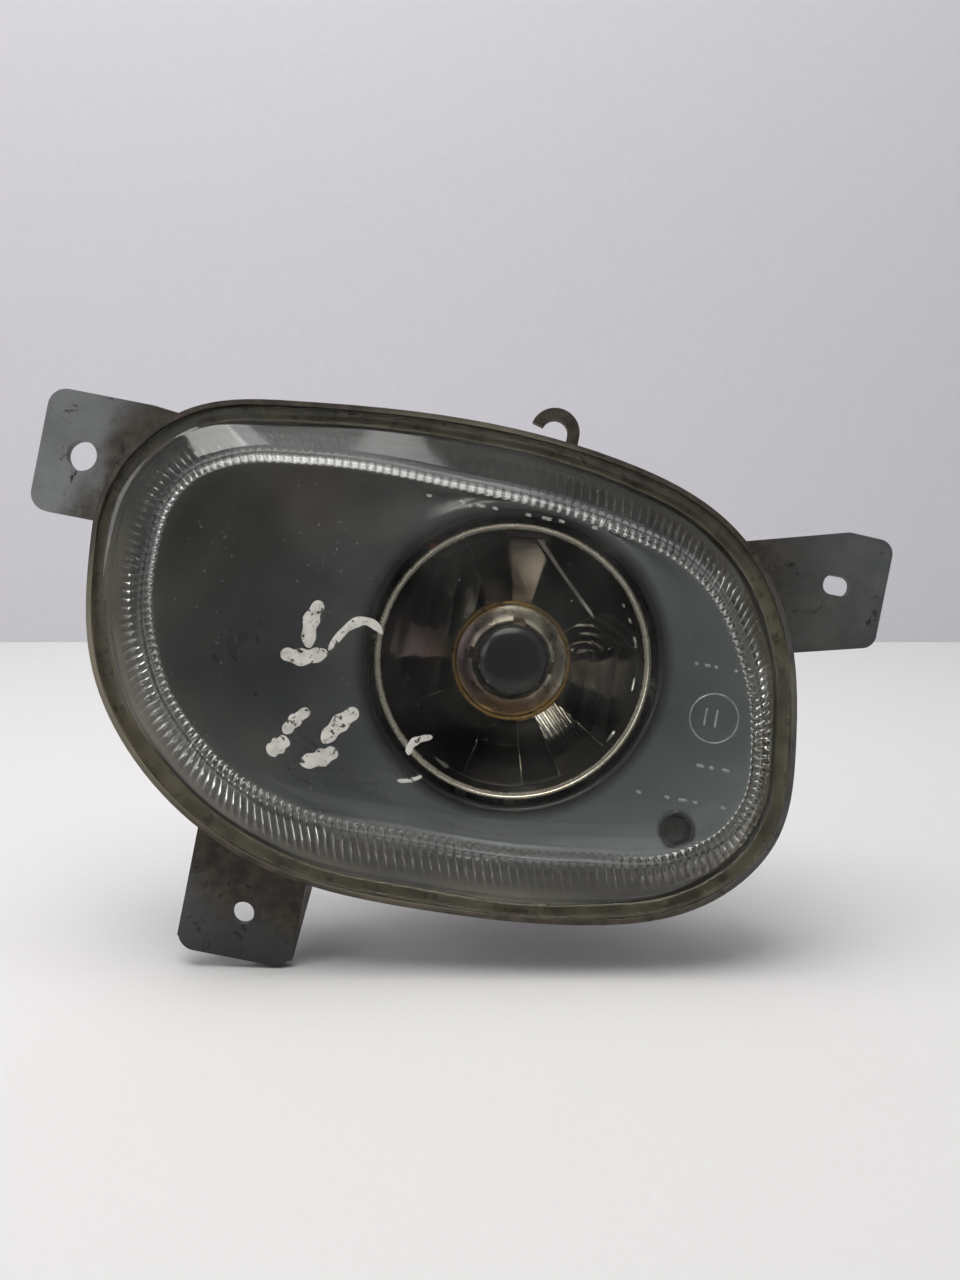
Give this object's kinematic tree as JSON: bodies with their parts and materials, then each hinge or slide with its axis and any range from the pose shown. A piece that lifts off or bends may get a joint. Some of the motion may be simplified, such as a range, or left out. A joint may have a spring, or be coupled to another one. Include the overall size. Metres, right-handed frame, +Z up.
{
  "type": "fog light",
  "caption": "Automotive front fog light with a fluted glass lens, an aimable faceted reflector, a shielded bulb on a spring clip, a removable rear cap and three mounting ears.",
  "frame": {"origin": "centre of the left ear's round hole, on the ear's front face", "axes": "-Y is the direction the light shines, along the optical axis; +X is to the right seen from the front; +Z is up, as the lamp is shown"},
  "size_m": [0.2317, 0.086, 0.1627],
  "materials": {
    "housing_plastic": "moulded glass-filled nylon, road grime in the corners",
    "lens_glass": "pressed clear glass, fluted skirt",
    "sealant": "aged olive-brown butyl",
    "bezel_paint": "satin dark grey",
    "zinc_steel": "zinc plated",
    "nylon": "natural nylon",
    "socket_plastic": "fine texture",
    "brass": "tinned brass",
    "rubber": "soft, matt",
    "filter_foam": "sintered felt",
    "lead_red": "thin-wall insulation",
    "lead_black": "thin-wall insulation",
    "cap_plastic": "fine texture",
    "mirror_coating": "aluminised, faceted",
    "shield_steel": "heat-stained",
    "quartz_glass": "clear quartz",
    "tungsten": "drawn wire",
    "ceramic": "unglazed",
    "boot_rubber": "moulded",
    "spring_steel": "bright spring wire"
  },
  "bodies": {
    "housing": {"housing": "housing_plastic", "rear_chamber": "housing_plastic", "left_ear": "housing_plastic", "right_ear": "housing_plastic", "bottom_ear": "housing_plastic", "harness_hook": "housing_plastic", "lens": "lens_glass", "lens_seal": "sealant", "bezel": "bezel_paint", "bezel_screw": "zinc_steel", "pivot_bushes": "nylon", "connector_socket": "socket_plastic", "connector_terminals": "brass", "connector_seal": "rubber", "breather_cap": "rubber", "breather_filter": "filter_foam", "adjuster_bush": "nylon", "adjuster_oring": "rubber", "live_lead": "lead_red", "ground_lead": "lead_black"},
    "rear_cap": {"rear_cap": "cap_plastic", "rear_cap_seal": "rubber"},
    "reflector": {"reflector": "mirror_coating", "pivot_pins": "zinc_steel", "bulb_shield": "shield_steel", "bulb_holder": "zinc_steel", "holder_rivets": "zinc_steel", "bulb_glass": "quartz_glass", "bulb_filament": "tungsten", "bulb_base": "shield_steel", "bulb_insulator": "ceramic", "bulb_terminal": "brass", "terminal_boot": "boot_rubber"},
    "bulb_clip": {"bulb_clip": "spring_steel"},
    "adjuster": {"adjuster_screw": "zinc_steel", "adjuster_knob": "nylon", "adjuster_retaining_clip": "spring_steel"},
    "adjuster_nut": {"adjuster_nut": "nylon"}
  },
  "joints": [
    {"name": "aim_tilt", "type": "hinge", "parent": "housing", "child": "reflector", "pos_m": [0.1246, 0.005, -0.0322], "axis": [1, 0, 0], "range_deg": [-3.58, 3.58], "deforming": ["live_lead", "ground_lead"]},
    {"name": "nut_travel", "type": "slide", "parent": "housing", "child": "adjuster_nut", "axis": [0, 1, 0], "range_m": [-0.00301, 0.00301]},
    {"name": "adjuster_spin", "type": "hinge", "parent": "housing", "child": "adjuster", "pos_m": [0.1246, 0.024, -0.0802], "axis": [0, 1, 0], "range_deg": [-720, 720]},
    {"name": "clip_swing", "type": "hinge", "parent": "reflector", "child": "bulb_clip", "pos_m": [0.1246, 0.02095, -0.019], "axis": [1, 0, 0], "range_deg": [0, 100]},
    {"name": "cap_pull", "type": "slide", "parent": "housing", "child": "rear_cap", "axis": [0, 1, 0], "range_m": [0, 0.045]}
  ],
  "couplings": [
    {"joint": "nut_travel", "follows": "aim_tilt", "m_per_rad": 0.048},
    {"joint": "adjuster_spin", "follows": "aim_tilt", "ratio": 201.06}
  ]
}
